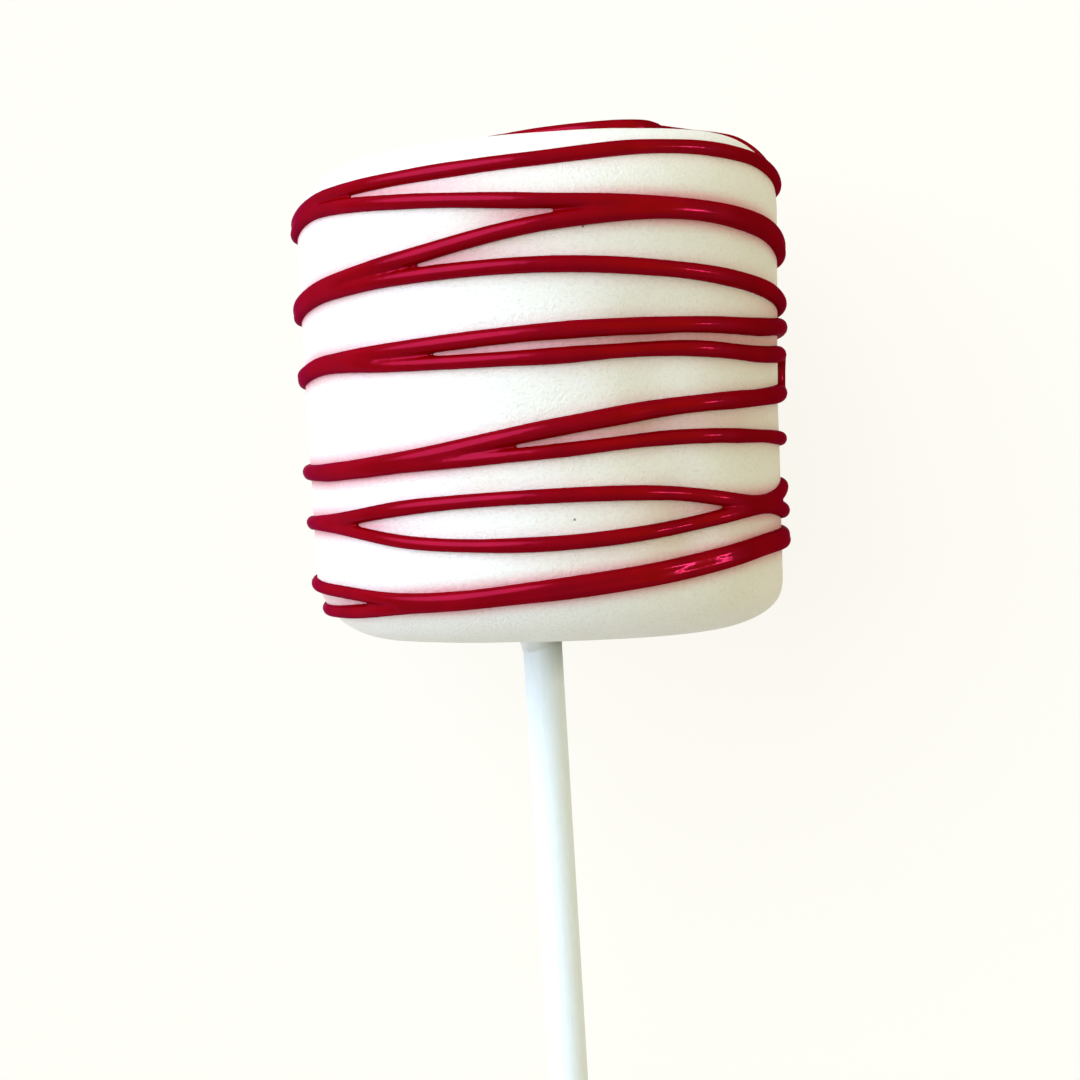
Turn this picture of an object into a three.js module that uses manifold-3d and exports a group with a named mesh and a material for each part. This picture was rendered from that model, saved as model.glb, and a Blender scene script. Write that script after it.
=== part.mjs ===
// A giant marshmallow dipped in white candy coating, wound with a red candy drizzle, on a paper stick.
// It lies on its side with the decorated side up. Millimetres, +Z up.
// +Y runs from the stick's free end to the marshmallow's top, and the origin is the middle of the rest flat.
import * as THREE from 'three';
import { mergeVertices } from 'three/addons/utils/BufferGeometryUtils.js';
import Module from 'manifold-3d';

const wasm = await Module();
wasm.setup();

// Coated marshmallow: its round, its soft edges and how far it is from true
const bodyRadius = 24.1;
const bodyHeight = 48.3;
const edgeRound = 7;
const faceCrown = 0.6;
const topSlant = 0.015;
const baseSlant = -0.027;
const topSaddle = 0.9;
const leanToRight = 0.022;
const widening = 0.0008;
const restDepth = 0.8;
const roundSegments = 36;
const profileSteps = 20;

// Shallow vertical dents in the coating: angle round the side in degrees, then millimetres
const dents = [
  { angle: 24, height: -4, across: 5, along: 7, depth: 0.35 },
  { angle: 33, height: -13, across: 4.5, along: 6, depth: 0.4 },
  { angle: 22, height: 4, across: 5, along: 4, depth: 0.25 },
];

// Paper stick and the socket that it is pushed into
const stickDiameter = 4;
const stickLength = 152;
const stickInside = 34;
const stickOffset = -1.6;
const stickEdge = 0.3;
const stickSegments = 24;
const socketGap = 0.3;

// Sleeve of coating that runs a little way down the stick
const collarLength = 2.3;
const collarTipRadius = 2.65;
const collarNeckRadius = 2.8;
const collarRootRadius = 3.5;
const collarSunk = 0.5;

// Drizzle thread: half its width, half its thickness, and how far its middle stands off the coating
const threadHalfWidth = 0.8;
const threadHalfThickness = 0.68;
const threadLift = 0.24;
const threadEndShare = 0.5;
const threadSides = 6;
const stepAngle = 15;
const longestStretch = 180;

// Angles round the marshmallow in degrees: 0 faces up, 90 is its right side and 180 its underside.
const frontAngles = [-90, -60, -30, 0, 30, 60, 90];
const underAngles = [45, 90, 135];

// The thread starts on the top face and winds outward: angle, and distance from the face's middle
const topLoop = [
  [-450, 2.2],
  [-390, 3.4],
  [-330, 4.8],
  [-270, 6.2],
  [-210, 7.6],
  [-150, 9],
  [-90, 10],
  [-40, 11],
  [-10, 13.1],
  [4, 14.8],
  [13, 16.2],
  [24, 16.8],
  [37, 17],
  [48, 16.2],
  [58, 16.6],
];
// It drops over the rim at the right: angle, and distance up the side along the surface
const rimDrop = [
  [66, 25.2],
  [76, 22],
  [90, 19.3],
];
// Front crossings from top to base: distance up the side at each front angle, left to right,
// and how far the pass under the marshmallow that follows strays from a straight line
const firstCrossings = [
  { heights: [18.1, 19.6, 20.4, 21.1, 21.9, 21, 18.8], stray: 0.8 },
  { heights: [17.3, 18.5, 18, 16.9, 16.2, 15, 12.8], stray: -0.9 },
  { heights: [9.6, 11.1, 12.7, 14.9, 15.4, 14, 12.2], stray: 1 },
  { heights: [9.1, 10.3, 11, 11.1, 10.2, 8.8, 7.3], stray: 0.8 },
  { heights: [3, 3.95, 4.35, 4.95, 5.1, 4.9, 5.2], stray: -0.7 },
  { heights: [2.6, 3.5, 2.95, 2.7, 2.95, 2.3, 2.5], stray: 0 },
];
// The thread then turns back on itself at the right side and winds the other way.
// The two crossings that it joins stop a little short of the side.
const hookStart = 82;
const hook = [
  [89, 1.9],
  [89, -0.7],
];
const lastCrossings = [
  { heights: [-6.4, -6.65, -5.95, -4.05, -2.5, -1.9, -1.3], stray: 0.6 },
  { heights: [-6.7, -6.9, -6.4, -6, -5.35, -5.6, -5.9], stray: -0.6 },
  { heights: [-11.7, -11.5, -10.4, -10.1, -10.5, -11.9, -10.4], stray: 0.9 },
  { heights: [-11.9, -12.1, -14.05, -14.55, -13.7, -12.3, -13], stray: -0.5 },
  { heights: [-18, -18.7, -19.5, -18.5, -17.2, -15.7, -15.2], stray: 0.7 },
  { heights: [-21, -21, -20.1, -19.2, -17.9, -16.3, -15.8], stray: 0 },
];
// Where the thread ends under the marshmallow: angle past the last station, and distance up the side
const tail = [-58, -20.6];

const bodyHalf = bodyHeight / 2;
const axisHeight = bodyRadius - restDepth;
const sideEnd = bodyHalf - edgeRound;
const faceReach = bodyRadius - edgeRound;
const toRadians = THREE.MathUtils.degToRad;

// Half outline of the marshmallow from the middle of its base to the middle of its top
function bodyProfile() {
  const path = new THREE.Path();
  path.moveTo(0, -bodyHalf - faceCrown);
  path.quadraticCurveTo(faceReach / 2, -bodyHalf, faceReach, -bodyHalf);
  path.absarc(faceReach, -sideEnd, edgeRound, -Math.PI / 2, 0, false);
  path.lineTo(bodyRadius, sideEnd);
  path.absarc(faceReach, sideEnd, edgeRound, 0, Math.PI / 2, false);
  path.quadraticCurveTo(faceReach / 2, bodyHalf, 0, bodyHalf + faceCrown);
  return path;
}
const profile = bodyProfile();
const profileLength = profile.getLength();

// A dipped marshmallow isn't true: it leans and widens, its ends slant, and its side has soft dents.
function makeUneven(point) {
  const angle = Math.atan2(point.x, point.z);
  const share = Math.hypot(point.x, point.z) / bodyRadius;
  let radius = bodyRadius * share * (1 + widening * point.y);
  for (const dent of dents) {
    const across = (angle - toRadians(dent.angle)) * bodyRadius / dent.across;
    const along = (point.y - dent.height) / dent.along;
    radius -= dent.depth * share * Math.exp(-(across ** 2) - along ** 2);
  }
  const right = radius * Math.sin(angle);
  const endShare = (point.y / bodyHalf) ** 2;
  const slant = right * (point.y > 0 ? topSlant : baseSlant);
  const saddle = point.y > 0 ? topSaddle * (share * Math.sin(angle)) ** 2 : 0;
  const up = point.y + endShare * (slant + saddle);
  return new THREE.Vector3(right + leanToRight * point.y, up, axisHeight + radius * Math.cos(angle));
}

// Point on the coating at an angle round it and a distance up its side, counted on over the rim
function coatingPoint(angle, distance) {
  const outline = profile.getPointAt(THREE.MathUtils.clamp(0.5 + distance / profileLength, 0, 1));
  const turn = toRadians(angle);
  return makeUneven(new THREE.Vector3(outline.x * Math.sin(turn), outline.y, outline.x * Math.cos(turn)));
}

function coatingNormal(angle, distance) {
  const round = coatingPoint(angle + 1, distance).sub(coatingPoint(angle - 1, distance));
  const up = coatingPoint(angle, distance + 0.3).sub(coatingPoint(angle, distance - 0.3));
  return up.cross(round).normalize().negate();
}

function toSolid(geometry) {
  geometry.deleteAttribute('normal');
  geometry.deleteAttribute('uv');
  const merged = mergeVertices(geometry, 1e-4);
  const mesh = new wasm.Mesh({
    numProp: 3,
    vertProperties: new Float32Array(merged.attributes.position.array),
    triVerts: new Uint32Array(merged.index.array),
  });
  return new wasm.Manifold(mesh);
}

// Joining can seal a pinhole under the thread: only the outer skin is kept, which fills it.
function outerSkin(solid) {
  return solid.decompose().reduce((best, piece) => (piece.volume() > best.volume() ? piece : best));
}

function toGeometry(solid) {
  const mesh = solid.getMesh();
  const geometry = new THREE.BufferGeometry();
  geometry.setAttribute('position', new THREE.BufferAttribute(mesh.vertProperties, 3));
  geometry.setIndex(new THREE.BufferAttribute(mesh.triVerts, 1));
  geometry.computeVertexNormals();
  return geometry;
}

function moveVertices(geometry, place) {
  const positions = geometry.attributes.position;
  for (let i = 0; i < positions.count; i += 1) {
    const moved = place(new THREE.Vector3().fromBufferAttribute(positions, i));
    positions.setXYZ(i, moved.x, moved.y, moved.z);
  }
  return geometry;
}

function bodySolid() {
  const outline = profile.getSpacedPoints(profileSteps);
  outline[0].x = 0;
  outline[profileSteps].x = 0;
  return toSolid(moveVertices(new THREE.LatheGeometry(outline, roundSegments), makeUneven));
}

// Height of the marshmallow's base where the stick goes in
const baseAtStick = coatingPoint(-90, -profileLength / 2 - stickOffset).y;

function alongStick(geometry, startHeight) {
  return geometry.translate(stickOffset, startHeight, axisHeight);
}

function collarSolid() {
  const outline = [
    new THREE.Vector2(0, -collarLength),
    new THREE.Vector2(collarTipRadius, -collarLength),
    new THREE.Vector2(collarNeckRadius, -collarLength / 3),
    new THREE.Vector2(collarRootRadius, collarSunk),
    new THREE.Vector2(0, collarSunk),
  ];
  return toSolid(alongStick(new THREE.LatheGeometry(outline, stickSegments), baseAtStick));
}

function socketSolid() {
  const length = stickInside + socketGap + 2 * collarLength;
  const bore = new THREE.CylinderGeometry(
    stickDiameter / 2 + socketGap, stickDiameter / 2 + socketGap, length, stickSegments);
  return toSolid(alongStick(bore, baseAtStick + stickInside + socketGap - length / 2));
}

function belowFloorSolid() {
  const slab = new THREE.BoxGeometry(4 * bodyRadius, 4 * bodyRadius, 2 * bodyRadius);
  return toSolid(slab.translate(0, 0, -bodyRadius));
}

// Stations of one front crossing, and of the pass under the marshmallow that leads to the next
function crossingStations(crossing, turns, direction) {
  const stations = frontAngles.map((angle, i) => [angle + 360 * turns, crossing.heights[i]]);
  return direction > 0 ? stations : stations.reverse();
}

function underStations(start, end, stray) {
  return underAngles.map((angle) => {
    const share = angle / 180;
    const height = THREE.MathUtils.lerp(start[1], end[1], share) + stray * Math.sin(share * Math.PI);
    return [THREE.MathUtils.lerp(start[0], end[0], share), height];
  });
}

// The whole thread as stations of angle and distance up the side
function threadStations() {
  const faceMiddle = profileLength / 2;
  const stations = topLoop.map(([angle, radius]) => [angle, faceMiddle - radius]);
  stations.push(...rimDrop);
  let stray = 0;
  let turns = 0;
  for (const crossing of firstCrossings) {
    turns += 1;
    const front = crossingStations(crossing, turns, 1);
    stations.push(...underStations(stations.at(-1), front[0], stray), ...front);
    stray = crossing.stray;
  }
  stations.at(-1)[0] = hookStart + 360 * turns;
  stations.push(...hook.map(([angle, up]) => [angle + 360 * turns, up]));
  for (const [i, crossing] of lastCrossings.entries()) {
    const front = crossingStations(crossing, turns, -1);
    if (i > 0) {
      stations.push(...underStations(stations.at(-1), front[0], stray));
    } else {
      front[0][0] = hookStart + 360 * turns;
    }
    stations.push(...front);
    stray = crossing.stray;
    turns -= 1;
  }
  const last = stations.at(-1);
  stations.push([last[0] + tail[0], tail[1]]);
  return stations;
}

// The stations smoothed on the unrolled coating, with steps of about fifteen degrees
function threadRoute() {
  const stations = threadStations();
  const arc = toRadians(1) * bodyRadius;
  const curve = new THREE.SplineCurve(stations.map(([angle, up]) => new THREE.Vector2(angle * arc, up)));
  const route = [];
  const joints = [0];
  for (let i = 1; i < stations.length; i += 1) {
    const steps = Math.max(1, Math.round(Math.abs(stations[i][0] - stations[i - 1][0]) / stepAngle));
    for (let k = 0; k < steps; k += 1) {
      route.push(curve.getPoint((i - 1 + k / steps) / (stations.length - 1)));
    }
    joints.push(route.length);
  }
  route.push(curve.getPoint(1));
  return { points: route.map((p) => ({ angle: p.x / arc, up: p.y })), joints };
}

// Centre and section axes of the thread at one step of its route
function threadFrame(points, i) {
  const { angle, up } = points[i];
  const before = points[Math.max(i - 1, 0)];
  const after = points[Math.min(i + 1, points.length - 1)];
  const normal = coatingNormal(angle, up);
  const along = coatingPoint(after.angle, after.up).sub(coatingPoint(before.angle, before.up));
  const across = along.cross(normal).normalize();
  const centre = coatingPoint(angle, up).addScaledVector(normal, threadLift);
  const share = before === points[i] || after === points[i] ? threadEndShare : 1;
  return {
    centre,
    across: across.multiplyScalar(threadHalfWidth * share),
    normal: normal.multiplyScalar(threadHalfThickness * share),
  };
}

// One stretch of the thread as a cylinder bent along the route
function threadSolid(frames, first, last) {
  const steps = last - first;
  const tube = new THREE.CylinderGeometry(1, 1, steps, threadSides, steps);
  const bend = (point) => {
    const frame = frames[first + Math.round(point.y + steps / 2)];
    return frame.centre.clone()
      .addScaledVector(frame.across, point.x)
      .addScaledVector(frame.normal, point.z);
  };
  return toSolid(moveVertices(tube, bend));
}

// Stretches of at most half a turn, so that none lies on itself where the thread runs beside itself
function threadSolids() {
  const { points, joints } = threadRoute();
  const frames = points.map((_, i) => threadFrame(points, i));
  const swept = (first, last) => Math.abs(points[last].angle - points[first].angle);
  const solids = [];
  let first = 0;
  for (let j = 1; j < joints.length; j += 1) {
    const isLast = j === joints.length - 1;
    if (isLast || swept(first, joints[j + 1]) > longestStretch + 1) {
      solids.push(threadSolid(frames, first, joints[j]));
      first = joints[j];
    }
  }
  return solids;
}

function coatedMarshmallow() {
  let solid = bodySolid().add(collarSolid());
  for (const stretch of threadSolids()) {
    solid = solid.add(stretch);
  }
  solid = solid.subtract(socketSolid()).subtract(belowFloorSolid());
  const mesh = new THREE.Mesh(
    toGeometry(outerSkin(solid)),
    new THREE.MeshStandardMaterial({ color: 0xf2f1ea, roughness: 0.45, metalness: 0 }));
  mesh.name = 'coated_marshmallow';
  return mesh;
}

function paperStick() {
  const radius = stickDiameter / 2;
  const outline = [
    new THREE.Vector2(0, 0),
    new THREE.Vector2(radius - stickEdge, 0),
    new THREE.Vector2(radius, stickEdge),
    new THREE.Vector2(radius, stickLength - stickEdge),
    new THREE.Vector2(radius - stickEdge, stickLength),
    new THREE.Vector2(0, stickLength),
  ];
  const mesh = new THREE.Mesh(
    toGeometry(toSolid(new THREE.LatheGeometry(outline, stickSegments))),
    new THREE.MeshStandardMaterial({ color: 0xf4f7f8, roughness: 0.75, metalness: 0 }));
  mesh.name = 'stick';
  mesh.position.set(stickOffset, baseAtStick + stickInside - stickLength, axisHeight);
  return mesh;
}

const pop = new THREE.Group();
pop.add(coatedMarshmallow(), paperStick());
export default pop;
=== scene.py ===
# Dipped marshmallow pop, lying on its side with the decorated side up, seen from above
import bpy
import math
from mathutils import Matrix, Vector, kdtree, noise


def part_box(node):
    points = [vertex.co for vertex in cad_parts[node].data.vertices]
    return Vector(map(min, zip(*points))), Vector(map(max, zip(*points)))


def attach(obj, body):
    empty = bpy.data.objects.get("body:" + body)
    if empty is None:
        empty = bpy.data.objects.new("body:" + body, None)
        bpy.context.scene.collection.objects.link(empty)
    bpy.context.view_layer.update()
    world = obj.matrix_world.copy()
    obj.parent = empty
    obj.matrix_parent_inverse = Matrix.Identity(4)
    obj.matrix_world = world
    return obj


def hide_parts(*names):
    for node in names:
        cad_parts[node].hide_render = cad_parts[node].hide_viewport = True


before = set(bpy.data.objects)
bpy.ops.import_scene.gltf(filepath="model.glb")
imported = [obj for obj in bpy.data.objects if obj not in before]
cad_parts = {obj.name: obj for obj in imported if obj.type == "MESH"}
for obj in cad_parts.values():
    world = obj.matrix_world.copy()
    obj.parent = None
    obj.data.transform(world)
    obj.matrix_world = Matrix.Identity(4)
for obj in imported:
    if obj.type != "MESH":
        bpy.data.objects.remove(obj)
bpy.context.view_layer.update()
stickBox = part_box("stick")
mm = 0.001
pixel = 0.1026  # millimetres that one pixel of the photograph covers at the stick


# Small helpers

def deselectAll():
    bpy.ops.object.select_all(action="DESELECT")


def pick(piece):
    deselectAll()
    piece.select_set(True)
    bpy.context.view_layer.objects.active = piece


def newPiece(name):
    piece = bpy.context.active_object
    piece.name = name
    piece.data.name = name
    return piece


def startEditing(piece, selectMode="VERT"):
    pick(piece)
    bpy.ops.object.mode_set(mode="EDIT")
    bpy.ops.mesh.select_mode(type=selectMode)
    bpy.ops.mesh.select_all(action="DESELECT")


def stopEditing():
    bpy.ops.object.mode_set(mode="OBJECT")


def selectFaces(piece, wanted):
    # edit mode has to be left for the choice to count
    stopEditing()
    for face in piece.data.polygons:
        face.select = wanted(face)
    bpy.ops.object.mode_set(mode="EDIT")


def useModifier(piece, kind, **settings):
    pick(piece)
    modifier = piece.modifiers.new(kind.title(), kind)
    for key, value in settings.items():
        setattr(modifier, key, value)
    bpy.ops.object.modifier_apply(modifier=modifier.name)


def placeInMesh(piece):
    pick(piece)
    bpy.ops.object.transform_apply(location=True, rotation=True, scale=True)


def moveVertices(piece, place):
    for vertex in piece.data.vertices:
        vertex.co = place(vertex.co)
    piece.data.update()


def shadeSmooth(piece):
    pick(piece)
    bpy.ops.object.shade_smooth()


def finishPiece(piece, material, node):
    piece.data.materials.clear()
    piece.data.materials.append(material)
    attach(piece, "root")
    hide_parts(node)


# Shader helpers

class Wire:
    # an output socket that can stand in a sum

    def __init__(self, paint, socket):
        self.paint = paint
        self.socket = socket

    def combine(self, operation, first, second):
        return self.paint.add("ShaderNodeMath", {"operation": operation}, {0: first, 1: second})

    def __add__(self, other):
        return self.combine("ADD", self, other)

    def __radd__(self, other):
        return self.combine("ADD", other, self)

    def __mul__(self, other):
        return self.combine("MULTIPLY", self, other)

    def __rmul__(self, other):
        return self.combine("MULTIPLY", other, self)


class Paint:
    def __init__(self, owner):
        # owner is a new material or world
        owner.use_nodes = True
        self.owner = owner
        self.tree = owner.node_tree
        self.tree.nodes.clear()

    def add(self, kind, settings=None, inputs=None, output=0):
        node = self.tree.nodes.new(kind)
        for key, value in (settings or {}).items():
            setattr(node, key, value)
        for key, value in (inputs or {}).items():
            if isinstance(value, Wire):
                self.tree.links.new(value.socket, node.inputs[key])
            else:
                node.inputs[key].default_value = value
        return Wire(self, node.outputs[output]) if node.outputs else None

    def place(self, axis=None):
        # in metres; with an axis named, the place along it alone
        spot = self.add("ShaderNodeTexCoord", output="Object")
        return self.add("ShaderNodeSeparateXYZ", None, {0: spot}, axis) if axis else spot

    def stretched(self, scale):
        return self.add("ShaderNodeMapping", inputs={"Vector": self.place(), "Scale": scale})

    def noise(self, size, detail=2.0, roughness=0.5, vector=None):
        # size is the width of a patch in millimetres
        return self.add("ShaderNodeTexNoise", None, {
            "Vector": vector or self.place(), "Scale": 1 / (size * mm),
            "Detail": detail, "Roughness": roughness})

    def clamped(self, value, low, high, toLow=0.0, toHigh=1.0):
        return self.add("ShaderNodeMapRange", {"clamp": True}, {
            "Value": value, "From Min": low, "From Max": high, "To Min": toLow, "To Max": toHigh})

    def blend(self, factor, first, second):
        return self.add("ShaderNodeMix", {"data_type": "RGBA"}, {0: factor, 6: first, 7: second}, 2)

    def attribute(self, name):
        return self.add("ShaderNodeAttribute", {"attribute_name": name}, output="Fac")

    def bump(self, height, strength, depth):
        return self.add("ShaderNodeBump", None, {
            "Height": height, "Strength": strength, "Distance": depth * mm})

    def finish(self, inputs):
        shader = self.add("ShaderNodeBsdfPrincipled", None, inputs)
        self.add("ShaderNodeOutputMaterial", None, {"Surface": shader})
        return self.owner


def newPaint(name):
    return Paint(bpy.data.materials.new(name))


def linear(red, green, blue):
    # a colour as read off the photograph, 0 to 255, made linear
    def one(level):
        share = level / 255
        return share / 12.92 if share <= 0.04045 else ((share + 0.055) / 1.055) ** 2.4
    return (one(red), one(green), one(blue), 1.0)


# Camera
camera = {
    "distance": 230,  # millimetres from the stick's axis
    "aim": (-1.21, -14.8),  # point of the axis plane at the middle of the photograph
    "tilt": 1.7,  # degrees: the marshmallow's top comes a little nearer
    "roll": 3.45,  # degrees: the stick leans
    "frame": 1080,  # pixels
}


def addCamera():
    axis = marshmallowAxis() * mm
    tilt = math.radians(camera["tilt"])
    aim = Vector((camera["aim"][0] * mm, camera["aim"][1] * mm, axis))
    back = Vector((0, math.sin(tilt), math.cos(tilt))) * camera["distance"] * mm
    turn = Matrix.Rotation(-tilt, 3, "X") @ Matrix.Rotation(-math.radians(camera["roll"]), 3, "Z")
    bpy.ops.object.camera_add(location=aim + back, rotation=turn.to_euler())
    view = bpy.context.active_object
    view.name = "camera"
    view.data.sensor_width = 36
    view.data.lens = 36 * camera["distance"] / (camera["frame"] * pixel)
    view.data.clip_start = 0.01
    view.data.dof.use_dof = False
    bpy.context.scene.camera = view


# The coated marshmallow, in millimetres
marshmallow = {
    "radius": 24.1,
    "height": 48.3,
    "edgeRound": 7,
    "crown": 0.4,
    "topSlant": 0.015,
    "baseSlant": -0.031,
    "topSaddle": 0.9,
    "lean": 0.022,
    "widening": 0.0008,
    "restDepth": 0.8,
    "restSoftness": 0.25,
    "outlineStep": 2.3,
    "turnSteps": 80,
    "smoothLevels": 2,
    "dents": (  # degrees round the side, then height, width, height of the dent and depth
        (26, -3, 4, 7, 0.75),
        (34, -13, 3.6, 6, 0.85),
        (23, 4, 4, 4, 0.4),
        (92, 2.5, 24, 9, 0.2),
        (92, -22.3, 16, 3, -1.4),  # this and the next are bulges
        (92, 19.5, 14, 4, -0.15),
    ),
    "waves": ((12, 0.13), (5, 0.05)),  # width and height of the coating's unevenness
    "weld": 0.002,  # points nearer to each other than this become one
    "specks": ((5.7, -12.4, 0.075), (9.7, 14.3, 0.07)),  # degrees round the side, height and radius
}


def marshmallowAxis():
    return marshmallow["radius"] - marshmallow["restDepth"]


def outlinePoint(distance):
    # radius and height of the coating at a distance up the side, counted on over the rim
    edge = marshmallow["edgeRound"]
    half = marshmallow["height"] / 2
    faceReach = marshmallow["radius"] - edge
    side = math.copysign(1, distance)
    past = abs(distance) - (half - edge)
    if past <= 0:
        return marshmallow["radius"], distance
    if past <= edge * math.pi / 2:
        return faceReach + edge * math.cos(past / edge), side * (half - edge + edge * math.sin(past / edge))
    radius = max(faceReach - (past - edge * math.pi / 2), 0.0)
    dome = (1 - (radius / faceReach) ** 2) ** 2
    return radius, side * (half + marshmallow["crown"] * dome)


def outlineHalfLength():
    edge = marshmallow["edgeRound"]
    return marshmallow["height"] / 2 - edge + edge * math.pi / 2 + marshmallow["radius"] - edge


def makeUneven(point):
    # from the true round form to the leaning, slanted and dented one; millimetres about the axis
    angle = math.atan2(point.x, point.z)
    share = math.hypot(point.x, point.z) / marshmallow["radius"]
    radius = marshmallow["radius"] * share * (1 + marshmallow["widening"] * point.y)
    for where, height, across, along, depth in marshmallow["dents"]:
        sideways = (angle - math.radians(where)) * marshmallow["radius"] / across
        upward = (point.y - height) / along
        radius -= depth * share * math.exp(-sideways ** 2 - upward ** 2)
    right = radius * math.sin(angle)
    endShare = (point.y / (marshmallow["height"] / 2)) ** 2
    slant = right * (marshmallow["topSlant"] if point.y > 0 else marshmallow["baseSlant"])
    saddle = marshmallow["topSaddle"] * (share * math.sin(angle)) ** 2 if point.y > 0 else 0
    up = point.y + endShare * (slant + saddle)
    return Vector((right + marshmallow["lean"] * point.y, up, marshmallowAxis() + radius * math.cos(angle)))


def coatingPoint(angle, distance):
    radius, height = outlinePoint(distance)
    turn = math.radians(angle)
    return makeUneven(Vector((radius * math.sin(turn), height, radius * math.cos(turn)))) * mm


def spinOutline(name, points, centre, steps):
    # a vertex is drawn along the outline and the outline is spun about an axis along Y
    bpy.ops.mesh.primitive_plane_add(size=mm, location=(0, 0, 0))
    piece = newPiece(name)
    startEditing(piece)
    bpy.ops.mesh.select_all(action="SELECT")
    bpy.ops.mesh.merge(type="CENTER")
    bpy.ops.transform.translate(value=points[0])
    for before, after in zip(points, points[1:]):
        bpy.ops.mesh.extrude_vertices_move(TRANSFORM_OT_translate={"value": after - before})
    bpy.ops.mesh.select_all(action="SELECT")
    bpy.ops.mesh.spin(steps=steps, angle=2 * math.pi, center=centre, axis=(0, 1, 0))
    bpy.ops.mesh.select_all(action="SELECT")
    bpy.ops.mesh.remove_doubles(threshold=marshmallow["weld"] * mm)
    bpy.ops.mesh.normals_make_consistent(inside=False)
    stopEditing()
    return piece


def softFloor(height):
    # lets what would sink into the floor rest on it, with a soft edge round the flat
    soft = marshmallow["restSoftness"] * mm
    if height > 2 * soft:
        return height
    return max(0.0, (height + 2 * soft) ** 2 / (8 * soft)) if height > -2 * soft else 0.0


def buildCoating():
    length = outlineHalfLength()
    count = round(2 * length / marshmallow["outlineStep"])
    outline = [outlinePoint(-length + 2 * length * i / count) for i in range(count + 1)]
    points = [Vector((radius, height, 0)) * mm for radius, height in outline]
    coating = spinOutline("coating", points, (0, 0, 0), marshmallow["turnSteps"])
    levels = marshmallow["smoothLevels"]
    useModifier(coating, "SUBSURF", levels=levels, render_levels=levels)
    moveVertices(coating, lambda point: makeUneven(point / mm) * mm)
    addWaves(coating)
    addCollar(coating)
    moveVertices(coating, lambda point: Vector((point.x, point.y, softFloor(point.z))))
    pick(coating)
    bpy.ops.object.shade_smooth_by_angle(angle=math.radians(50))
    return coating


def addWaves(coating):
    # the coating set thicker here and thinner there
    normals = [vertex.normal.copy() for vertex in coating.data.vertices]
    for vertex, normal in zip(coating.data.vertices, normals):
        spot = vertex.co / mm
        for width, height in marshmallow["waves"]:
            vertex.co += normal * noise.noise(spot / width) * height * mm
    coating.data.update()


# The sleeve of coating that runs a little way down the stick, in millimetres
collar = {
    "reach": 4,  # round the stick, where the marshmallow's base is looked for
    "outline": (  # radius, and how far down the stick from the base
        (2.06, 1.5), (2.13, 1.05), (2.26, 0.6), (2.36, 0.27), (2.655, 0.075), (2.95, -0.15), (2.95, -1.2),
    ),
    "endRadius": 0.001,  # the two ends of the outline are closed at the axis
    "shortSide": 0.2,  # by how much the film is thinner on the right, where it runs out sooner
    "shortFrom": 0.7,  # how far down it is thinned in full
    "play": 0.01,  # between the stick and its hole
    "steps": 48,
    "thinning": (-24.5, -25.1),  # heights between which the paper comes to show through the film
    "paper": (250, 253, 253),
    "paintedShadowColour": (104, 112, 92),  # painted shadow of the marshmallow, close under it on the right of the stick
    "paintedShadowShare": 0.85,
    "paintedShadowHeights": (-29.5, -24.6),
    "paintedShadowSides": (-0.5, 1.9),
}


def stickAxis():
    low, high = stickBox
    return (low + high) / 2


def baseBesideStick(coating, centre):
    beside = [vertex.co.y for vertex in coating.data.vertices
              if math.hypot(vertex.co.x - centre.x, vertex.co.z - centre.z) < collar["reach"] * mm]
    return min(beside)


def addCollar(coating):
    centre = stickAxis()
    base = baseBesideStick(coating, centre)
    outline = list(collar["outline"])
    ends = [(collar["endRadius"], down) for radius, down in (outline[0], outline[-1])]
    points = [Vector((centre.x + radius * mm, base - down * mm, centre.z))
              for radius, down in [ends[0]] + outline + [ends[1]]]
    sleeve = spinOutline("sleeve", points, (centre.x, 0, centre.z), collar["steps"])

    def thinOnRight(point):
        outward = Vector((point.x - centre.x, 0, point.z - centre.z))
        if outward.length < mm or point.y > base:
            return point
        outward.normalize()
        share = min((base - point.y) / (collar["shortFrom"] * mm), 1) * (1 + outward.x) / 2
        return point - outward * collar["shortSide"] * share * mm

    moveVertices(sleeve, thinOnRight)
    useModifier(coating, "BOOLEAN", operation="UNION", object=sleeve, solver="EXACT")
    bpy.data.objects.remove(sleeve)
    bpy.ops.mesh.primitive_cylinder_add(
        vertices=collar["steps"], radius=(stickBox[1].x - stickBox[0].x) / 2 + collar["play"] * mm,
        depth=2 * (stickBox[1].y - base), location=(centre.x, base, centre.z), rotation=(math.pi / 2, 0, 0))
    bore = bpy.context.active_object
    useModifier(coating, "BOOLEAN", operation="DIFFERENCE", object=bore, solver="EXACT")
    bpy.data.objects.remove(bore)
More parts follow.
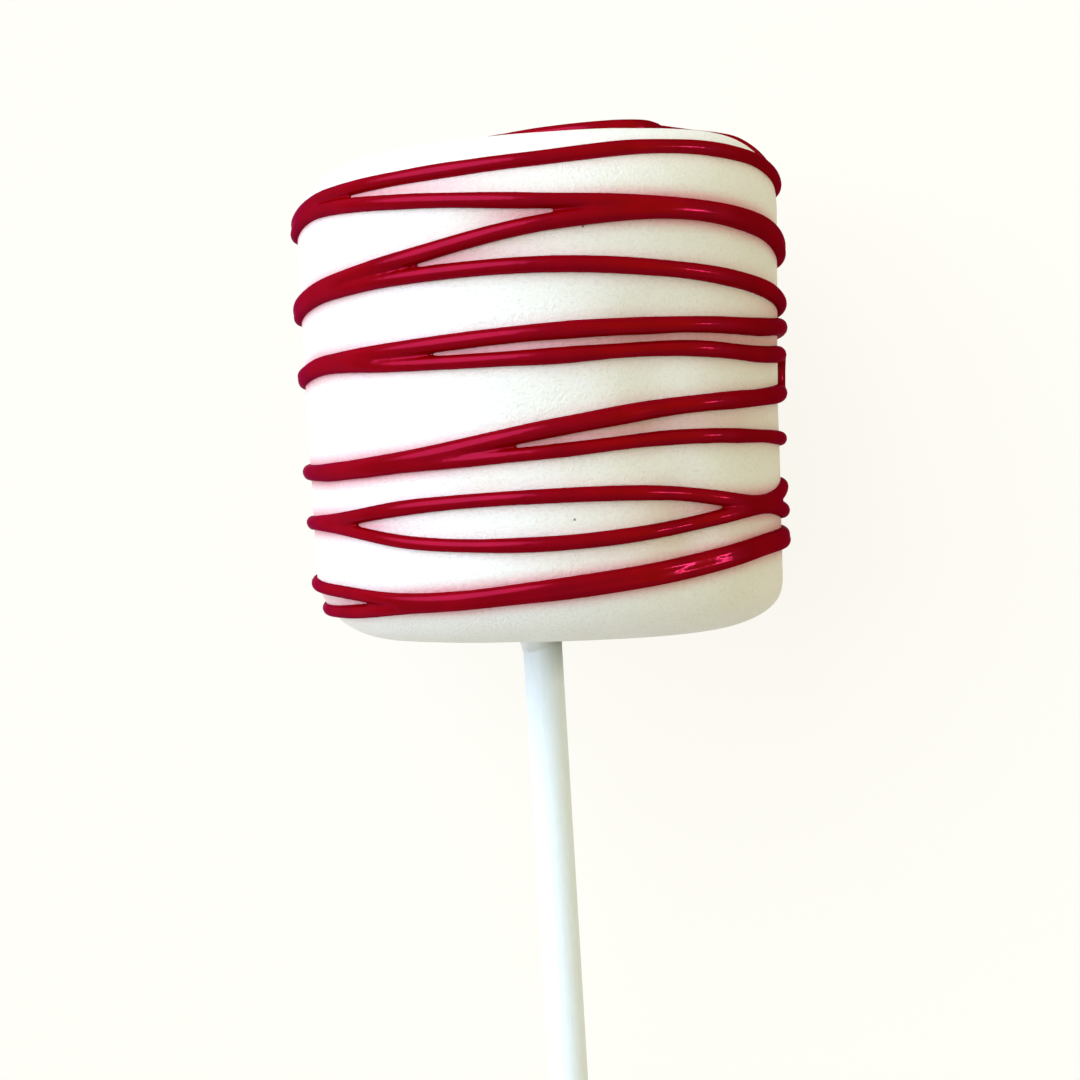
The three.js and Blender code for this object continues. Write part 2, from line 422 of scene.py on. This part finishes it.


# The red drizzle: one thread. Millimetres, and degrees round the marshmallow
# where 0 faces up, 90 is its right side and 180 its underside.
drizzle = {
    "radius": 0.82,
    "lift": 0.09,
    "stepAngle": 2.5,
    "frontAngles": (-90, -60, -30, 0, 30, 60, 90),
    "underAngles": (45, 90, 135),
    "topLoop": (  # angle, and distance from the top face's middle
        (-450, 2.2), (-390, 3.4), (-330, 4.8), (-270, 6.2), (-210, 7.6),
        (-150, 8.4), (-90, 9), (-40, 9.8), (-10, 12.2), (4, 13.8), (13, 15.3),
        (24, 16.5), (35, 17.1), (46, 15.8), (57, 14.6),
    ),
    "rimLoop": ((73, 15.7), (82.5, 17.2), (86, 18.8)),
    "rimThickness": 0.78,
    "rimDrop": ((89, 25), (90, 23), (90.5, 21), (91, 19.4)),  # angle, and distance up the side
    # heights at the front angles, the stray of the pass that follows, left and right thickness
    "firstCrossings": (
        ((18.15, 19.65, 20.45, 21.1, 21.9, 21, 18.8), 0.8, 0.88, 0.96),
        ((17.25, 18.4, 17.93, 16.9, 16, 14.8, 12.7), -0.9, 0.85, 1.02),
        ((9.6, 11.12, 12.72, 14.82, 15.5, 14.2, 12.1), 1, 0.94, 1.06),
        ((9.1, 10.3, 11, 11.1, 10.2, 8.8, 7.3), 0.8, 0.85, 1.06),
        ((3, 3.94, 4.42, 4.94, 5.1, 4.9, 5.2), -0.7, 0.86, 1.14),
        ((2.6, 3.4, 2.85, 2.68, 2.95, 2.3, 2.5), 0, 0.77, 1.06),
    ),
    "hook": ((88, 2.0), (89, 0.6), (88, -0.8)),  # where the thread turns back at the right side
    "hookThickness": 1.05,
    "lastCrossings": (
        ((-6.4, -6.62, -5.8, -3.98, -2.5, -1.9, -1.3), 0.6, 0.98, 1.12),
        ((-6.7, -6.95, -6.5, -6.05, -5.35, -5.6, -5.9), -0.6, 0.86, 0.87),
        ((-11.7, -11.5, -10.4, -10.1, -10.5, -11.9, -10.4), 0.9, 0.86, 0.9),
        ((-12, -12.2, -14, -14.5, -13.7, -12.3, -13), -0.5, 0.68, 1.04),
        ((-18, -18.7, -19.5, -18.5, -17.2, -15.7, -15.2), 0.7, 0.82, 0.98),
        ((-21, -20.95, -20.05, -19.15, -17.9, -16.3, -15.8), 0, 0.84, 1.04),
    ),
    "hookTurnsAt": 82,  # degrees: the crossings that the hook joins go no farther
    "tail": (-58, -20.6, 0.9),  # how far round it goes on, height and thickness
    "unevenness": (6, 0.1),  # millimetres along the thread, and share of its radius
    "thinEnds": (0.6, 12),  # share of the radius left at the loose ends, and over how many steps
    "pools": (  # the pair of crossings that run together, between which angles
        (0, 1, -90, -53), (1, 2, 6, 100), (2, 3, -90, -41), (4, 5, -90, -32), (6, 7, -70, -9),
        (8, 9, -78, -52), (8, 9, 45, 68), (10, 11, -48, -10),
    ),
    "poolRadius": 0.8,
    "poolLift": 0.06,
    "poolTip": 10,  # degrees over which a pool runs out
    "poolEnd": 0.1,  # share of its radius at the very end
    "restGap": 0.2,  # no thread where the coating is nearer than this to the floor
    "voxel": 0.13,
    "smoothing": 11,
    "keptShare": 0.35,  # of the faces, after thinning them out
    # the strands up to this one, and the pools from this one up to that one
    "pieces": (("drizzleTop", 5, 0, 3), ("drizzleMiddle", 8, 3, 5), ("drizzleBase", None, 5, None)),
    # how far the painted red light reflected off a thread reaches over the coating
    "paintedRedBounceReach": 0.8,
    "gapSearch": 2.8,
}


def underStations(start, end, stray):
    stations = []
    for angle in drizzle["underAngles"]:
        share = angle / 180
        turn, height, thickness = (start[i] + (end[i] - start[i]) * share for i in range(3))
        stations.append((turn, height + stray * math.sin(share * math.pi), thickness))
    return stations


def crossingStations(heights, turns, leftSize, rightSize):
    stations = []
    for angle, height in zip(drizzle["frontAngles"], heights):
        share = (angle + 90) / 180
        stations.append((angle + 360 * turns, height, leftSize + (rightSize - leftSize) * share))
    return stations


def threadStations():
    # angle, distance up the side and thickness, all along the thread
    faceMiddle = outlineHalfLength()
    stations = [(angle, faceMiddle - radius, 1) for angle, radius in drizzle["topLoop"]]
    thin = drizzle["rimThickness"]
    stations += [(angle, faceMiddle - radius, thin) for angle, radius in drizzle["rimLoop"]]
    stations += [(angle, distance, 1) for angle, distance in drizzle["rimDrop"]]
    turns, stray = 0, 0
    for heights, nextStray, leftSize, rightSize in drizzle["firstCrossings"]:
        turns += 1
        front = crossingStations(heights, turns, leftSize, rightSize)
        stations += underStations(stations[-1], front[0], stray) + front
        stray = nextStray
    widest = drizzle["hookTurnsAt"] + 360 * turns
    stations[-1] = (widest, *stations[-1][1:])
    thick = drizzle["hookThickness"]
    stations += [(angle + 360 * turns, height, thick) for angle, height in drizzle["hook"]]
    for i, (heights, nextStray, leftSize, rightSize) in enumerate(drizzle["lastCrossings"]):
        front = crossingStations(heights, turns, leftSize, rightSize)[::-1]
        if i == 0:
            front[0] = (widest, *front[0][1:])
        else:
            stations += underStations(stations[-1], front[0], stray)
        stations += front
        stray = nextStray
        turns -= 1
    turn, height, thickness = drizzle["tail"]
    return stations + [(stations[-1][0] + turn, height, thickness)]


def between(a, b, c, d, share):
    # a smooth curve through b and c
    return 0.5 * (2 * b + (c - a) * share + (2 * a - 5 * b + 4 * c - d) * share ** 2
                  + (3 * b - a - 3 * c + d) * share ** 3)


def smoothRoute(stations):
    padded = [stations[0]] + stations + [stations[-1]]
    route = []
    for a, b, c, d in zip(padded, padded[1:], padded[2:], padded[3:]):
        steps = max(4, round(abs(c[0] - b[0]) / drizzle["stepAngle"]))
        for k in range(steps):
            route.append([between(a[i], b[i], c[i], d[i], k / steps) for i in range(3)])
    return route + [list(stations[-1])]


def threadRoute():
    route = smoothRoute(threadStations())
    stretch, share = drizzle["unevenness"]
    stepLength = math.radians(drizzle["stepAngle"]) * marshmallow["radius"]
    least, steps = drizzle["thinEnds"]
    for i, place in enumerate(route):
        place[2] *= 1 + share * noise.noise(Vector((i * stepLength / stretch, 0.5, 0.5)))
        toEnd = min(i, len(route) - 1 - i) / steps
        place[2] *= least + (1 - least) * min(toEnd, 1)
    return route


def poolRoute(first, second, fromAngle, toAngle):
    # the candy that fills the groove where two crossings run together
    crossings = drizzle["firstCrossings"] + drizzle["lastCrossings"]
    pair = [smoothRoute(crossingStations(crossings[i][0], 0, 1, 1)) for i in (first, second)]
    route = []
    for (angle, upper, size), (same, lower, size) in zip(*pair):
        inside = min(angle - fromAngle, toAngle - angle)
        if inside >= 0:
            thickness = max(drizzle["poolEnd"], min(1, inside / drizzle["poolTip"]))
            route.append((angle, (upper + lower) / 2, thickness))
    return route


def layOn(coating, route, radius, lift):
    # points on the real coating, split where the marshmallow rests on the thread
    strands = [[]]
    for angle, distance, thickness in route:
        found, spot, normal, face = coating.closest_point_on_mesh(coatingPoint(angle, distance))
        if spot.z < drizzle["restGap"] * mm:
            if strands[-1]:
                strands.append([])
            continue
        strands[-1].append((spot + normal * lift * mm, radius * thickness * mm))
    return [strand for strand in strands if len(strand) > 2]


def threadStrands(coating):
    return layOn(coating, threadRoute(), drizzle["radius"], drizzle["lift"])


def poolStrands(coating):
    pools = []
    for pool in drizzle["pools"]:
        pools += layOn(coating, poolRoute(*pool), drizzle["poolRadius"], drizzle["poolLift"])
    return pools


def buildStrands(name, strands):
    bpy.ops.curve.primitive_nurbs_path_add(location=(0, 0, 0))
    piece = newPiece(name)
    curve = piece.data
    curve.splines.clear()
    curve.bevel_depth = mm
    curve.bevel_resolution = 4
    curve.use_fill_caps = True
    for strand in strands:
        spline = curve.splines.new("POLY")
        spline.points.add(len(strand) - 1)
        for point, (spot, radius) in zip(spline.points, strand):
            point.co = (*spot, 1)
            point.radius = radius / mm
    pick(piece)
    bpy.ops.object.convert(target="MESH")
    piece = bpy.context.active_object
    useModifier(piece, "REMESH", mode="VOXEL", voxel_size=drizzle["voxel"] * mm)
    useModifier(piece, "SMOOTH", factor=0.5, iterations=drizzle["smoothing"])
    useModifier(piece, "DECIMATE", ratio=drizzle["keptShare"])
    trimAtFloor(piece)
    shadeSmooth(piece)
    return piece


def trimAtFloor(piece):
    startEditing(piece)
    bpy.ops.mesh.select_all(action="SELECT")
    bpy.ops.mesh.bisect(plane_co=(0, 0, 0), plane_no=(0, 0, 1), use_fill=True, clear_inner=True,
                        threshold=0.001 * mm)
    stopEditing()


def buildDrizzle(coating):
    strands = threadStrands(coating)
    pools = poolStrands(coating)
    pieces, start = [], 0
    for name, stop, firstPool, lastPool in drizzle["pieces"]:
        pieces.append(buildStrands(name, strands[start:stop] + pools[firstPool:lastPool]))
        start = stop
    return strands, pieces


def markPaintedRedBounce(coating, strands):
    # painted reflected light: how much red each spot of the coating takes from the threads beside it, as
    # bounced red light, most in narrow gaps
    spots = [(spot, radius, i) for i, strand in enumerate(strands) for spot, radius in strand]
    tree = kdtree.KDTree(len(spots))
    for i, (spot, radius, strand) in enumerate(spots):
        tree.insert(spot, i)
    tree.balance()
    redBounce = coating.data.attributes.new("paintedRedBounce", "FLOAT", "POINT")
    gap = coating.data.attributes.new("paintedRedBounceInGaps", "FLOAT", "POINT")
    reach = drizzle["paintedRedBounceReach"] * mm
    for i, vertex in enumerate(coating.data.vertices):
        nearness = {}
        for place, j, distance in tree.find_range(vertex.co, drizzle["gapSearch"] * mm):
            spot, radius, strand = spots[j]
            near = math.exp(-(max(distance - radius, 0) / reach) ** 2)
            nearness[strand] = max(near, nearness.get(strand, 0))
        ranked = sorted(nearness.values(), reverse=True) + [0, 0]
        redBounce.data[i].value = ranked[0]
        gap.data[i].value = math.sqrt(ranked[0] * ranked[1])


# The paper stick, in millimetres
stick = {
    "edge": 0.25,
    "bevel": 0.2,
    "windings": 3,
    "windingShare": 0.85,  # of a turn's width that is flat, before the step
    "windingDepth": 0.05,
    "sides": 64,
}


def buildStick():
    low, high = stickBox
    radius = (high.x - low.x) / 2
    bpy.ops.mesh.primitive_cylinder_add(
        vertices=stick["sides"], radius=radius, depth=high.y - low.y,
        location=stickAxis(), rotation=(math.pi / 2, 0, 0))
    piece = newPiece("paperStick")
    placeInMesh(piece)
    startEditing(piece, "FACE")
    selectFaces(piece, lambda face: abs(face.normal.y) > 0.9)
    bpy.ops.mesh.inset(thickness=stick["edge"] * mm, use_individual=True)
    width = (radius - stick["edge"] * mm) / (stick["windings"] + 1)
    flat = width * stick["windingShare"]
    for i in range(stick["windings"]):
        # one step in for each turn of the rolled paper
        bpy.ops.mesh.inset(thickness=flat, use_individual=True)
        bpy.ops.mesh.inset(thickness=width - flat, depth=-stick["windingDepth"] * mm, use_individual=True)
    stopEditing()
    useModifier(piece, "BEVEL", width=stick["bevel"] * mm, segments=3, limit_method="ANGLE",
                angle_limit=math.radians(60))
    pick(piece)
    bpy.ops.object.shade_smooth_by_angle(angle=math.radians(40))
    return piece


# Finishes

def paintedShadowUnderMarshmallow(paint, base):
    # painted shadow of the marshmallow: darker and greener on the right of the stick, less so farther down
    low, high = collar["paintedShadowHeights"]
    left, right = (stickAxis().x + side * mm for side in collar["paintedShadowSides"])
    close = paint.clamped(paint.place("Y"), low * mm, high * mm)
    share = paint.clamped(paint.place("X"), left, right) * close
    return paint.blend(share * collar["paintedShadowShare"], base, linear(*collar["paintedShadowColour"]))


def coatingFinish(coating):
    paint = newPaint("ivoryCandyCoating")
    patches = paint.noise(9, 2)
    grain = paint.noise(0.34, 3, 0.65)
    fine = paint.noise(0.12, 2, 0.6)
    # painted red light, reflected from the drizzle onto the coating beside it and into narrow gaps
    redBounce = paint.attribute("paintedRedBounce") * 0.16 + paint.attribute("paintedRedBounceInGaps") * 0.6
    ivory = linear(253, 253, 252)
    cream = linear(248, 248, 241)
    grainShade = linear(222, 220, 206)
    paintedRedBounceColour = linear(228, 84, 120)
    brown = linear(120, 70, 60)
    base = paint.blend(paint.clamped(patches, 0.35, 0.7), ivory, cream)
    base = paint.blend(paint.clamped(grain, 0.5, 0.75) * 0.4, base, grainShade)
    base = paint.blend(paint.clamped(redBounce, 0, 1), base, paintedRedBounceColour)
    for angle, height, radius in marshmallow["specks"]:
        found, spot, normal, face = coating.closest_point_on_mesh(coatingPoint(angle, height))
        away = paint.add("ShaderNodeVectorMath", {"operation": "DISTANCE"}, {
            0: paint.place(), 1: spot}, "Value")
        speck = paint.clamped(away, radius * mm, 2 * radius * mm, 0.9, 0)
        base = paint.blend(speck, base, brown)
    thick, thin = collar["thinning"]
    film = paint.clamped(paint.place("Y"), thin * mm, thick * mm, 1, 0)
    # lower down, the film takes the paper's colour, with the marshmallow's painted shadow on its right
    base = paint.blend(film, base, paintedShadowUnderMarshmallow(paint, linear(*collar["paper"])))
    return paint.finish({
        "Base Color": base,
        "Roughness": paint.clamped(grain, 0.3, 0.7, 0.5, 0.38),
        "Normal": paint.bump(grain + 0.5 * fine, 0.9, 0.18),
        "Subsurface Weight": 0.2,
        "Subsurface Radius": (1.0, 0.8, 0.6),
        "Subsurface Scale": 1.2 * mm,
        "Specular IOR Level": 0.45,
    })


def drizzleFinish():
    paint = newPaint("crimsonCandyDrizzle")
    edgeTint = (0.4, 0.05, 0.5, 1.0)
    glossTint = (1.0, 0.12, 0.5, 1.0)
    glossShare = 0.032
    patches = paint.noise(3, 2)
    base = paint.blend(paint.clamped(patches, 0.3, 0.7), linear(132, 0, 0), linear(144, 0, 2))
    roughness = paint.clamped(patches, 0.3, 0.7, 0.15, 0.2)
    waves = paint.bump(paint.noise(1.6, 2), 0.1, 0.05)
    candy = paint.add("ShaderNodeBsdfPrincipled", None, {
        "Base Color": base,
        "Roughness": roughness,
        "Normal": waves,
        "Metallic": 0.22,
        "Specular IOR Level": 0.0,
        "Specular Tint": edgeTint,
    })
    # the same gloss at every angle, with a magenta tint
    gloss = paint.add("ShaderNodeBsdfGlossy", None, {
        "Color": glossTint, "Roughness": roughness, "Normal": waves})
    both = paint.add("ShaderNodeMixShader", None, {0: glossShare, 1: candy, 2: gloss})
    paint.add("ShaderNodeOutputMaterial", None, {"Surface": both})
    return paint.owner


def stickFinish():
    paint = newPaint("whiteStickPaper")
    fibres = paint.noise(0.25, 3, 0.6, paint.stretched((1, 0.12, 1)))
    clouds = paint.noise(6, 2)
    white = linear(238, 247, 255)
    bluish = linear(224, 235, 246)
    greyish = linear(234, 240, 242)
    base = paint.blend(paint.clamped(fibres, 0.35, 0.7) * 0.5, white, bluish)
    base = paint.blend(paint.clamped(clouds, 0.4, 0.7) * 0.3, base, greyish)
    # the marshmallow's painted shadow at the top right of the stick
    base = paintedShadowUnderMarshmallow(paint, base)
    return paint.finish({
        "Base Color": base,
        "Roughness": paint.clamped(fibres, 0.3, 0.7, 0.6, 0.75),
        "Normal": paint.bump(fibres, 0.25, 0.03),
        "Specular IOR Level": 0.35,
    })


# Floor, light and view, in metres
stage = {
    "floorSize": 4,
    "floorColour": (255, 253, 247),
    "floorGlow": 0.88,  # share of the floor's brightness that no shadow reaches
    "room": (0.5, 0.56, 0.57),
    "warmSide": (0.84, 0.69, 0.2),  # towards the right
    "warmEdges": (0.05, 0.75),  # how far towards it the change begins and ends, 1 being straight there
    "darkSide": (0.36, 0.37, 0.33),  # towards the stick's free end
    "darkEdges": (0.4, 0.9),
    "horizon": (0.6, 0.56, 0.44),
    "belowLeft": (1.0, 0.95, 1.0),  # mirrored in the candy in place of the floor
    "belowRight": (0.34, 0.26, 0.18),
    "belowSides": (-0.5, 0.1),
    "belowEdges": (-0.1, -0.3),
    "horizonEdges": (0.35, 0.1),  # how high up the room takes over from the horizon, and begins to
    "window": (3.25, 3.6, 4.05),
    "windowFrom": (-0.64, 0.46, 0.62),
    "windowEdges": (38, 28),  # degrees from its middle where it begins and where it is full
    "lampFrom": (0.6, 0.03, 0.195),
    "lampWidth": 0.03,
    "lampHeight": 0.12,
    "lampPower": 0.4,  # watts
}


def addStage():
    bpy.ops.mesh.primitive_plane_add(size=stage["floorSize"], location=(0, 0, 0))
    floor = newPiece("floor")
    paint = newPaint("paleFloor")
    pale = linear(*stage["floorColour"])
    glow = stage["floorGlow"]
    floor.data.materials.append(paint.finish({
        "Base Color": (*[level * (1 - glow) for level in pale[:3]], 1),
        "Emission Color": pale,
        "Emission Strength": glow,
        "Roughness": 1.0,
        "Specular IOR Level": 0.0,
    }))
    floor.visible_glossy = False  # the room's lower half is mirrored instead
    addRoom()
    addLamp()
    bpy.context.scene.view_settings.view_transform = "Standard"


def addRoom():
    # a soft room, warmer at the right, with one big window at the upper left
    world = bpy.data.worlds.new("studio")
    room = Paint(world)
    towards = room.add("ShaderNodeTexCoord")

    def along(direction):
        return room.add("ShaderNodeVectorMath", {"operation": "DOT_PRODUCT"}, {
            0: towards, 1: Vector(direction).normalized()}, "Value")

    def colour(name):
        return (*stage[name], 1)

    height = along((0, 0, 1))
    high, low = stage["horizonEdges"]
    edge, full = (math.cos(math.radians(angle)) for angle in stage["windowEdges"])
    warm = room.clamped(along((1, 0.1, 0)), *stage["warmEdges"])
    dark = room.clamped(along((0, -1, 0)), *stage["darkEdges"])
    right = room.clamped(along((1, 0, 0)), *stage["belowSides"])
    light = room.blend(warm, colour("room"), colour("warmSide"))
    light = room.blend(dark, light, colour("darkSide"))
    light = room.blend(room.clamped(height, low, high), colour("horizon"), light)
    below = room.blend(right, colour("belowLeft"), colour("belowRight"))
    light = room.blend(room.clamped(height, *stage["belowEdges"]), light, below)
    share = room.add("ShaderNodeMapRange", {"interpolation_type": "SMOOTHSTEP"}, {
        "Value": along(stage["windowFrom"]), "From Min": edge, "From Max": full})
    light = room.blend(share, light, colour("window"))
    glow = room.add("ShaderNodeBackground", None, {"Color": light})
    room.add("ShaderNodeOutputWorld", None, {"Surface": glow})
    bpy.context.scene.world = world


def addLamp():
    # low on the right and narrow, for the fine streaks on the drizzle
    place = Vector(stage["lampFrom"])
    towards = Vector((0, 0, marshmallowAxis() * mm)) - place
    bpy.ops.object.light_add(type="AREA", location=place,
                             rotation=towards.to_track_quat("-Z", "Y").to_euler())
    lamp = bpy.context.active_object
    lamp.name = "streak"
    lamp.data.shape = "RECTANGLE"
    lamp.data.size = stage["lampWidth"]
    lamp.data.size_y = stage["lampHeight"]
    lamp.data.energy = stage["lampPower"]
    lamp.visible_diffuse = False  # it shows in the gloss alone


addCamera()
addStage()
print("stage and camera are set")

coating = buildCoating()
print("coating:", len(coating.data.polygons), "faces")
strands, threads = buildDrizzle(coating)
print("drizzle:", [len(thread.data.polygons) for thread in threads], "faces")
markPaintedRedBounce(coating, strands)
paperStick = buildStick()
print("stick:", len(paperStick.data.polygons), "faces")

finishPiece(coating, coatingFinish(coating), "coated_marshmallow")
redCandy = drizzleFinish()
for thread in threads:
    finishPiece(thread, redCandy, "coated_marshmallow")
finishPiece(paperStick, stickFinish(), "stick")
print("finishes are on")
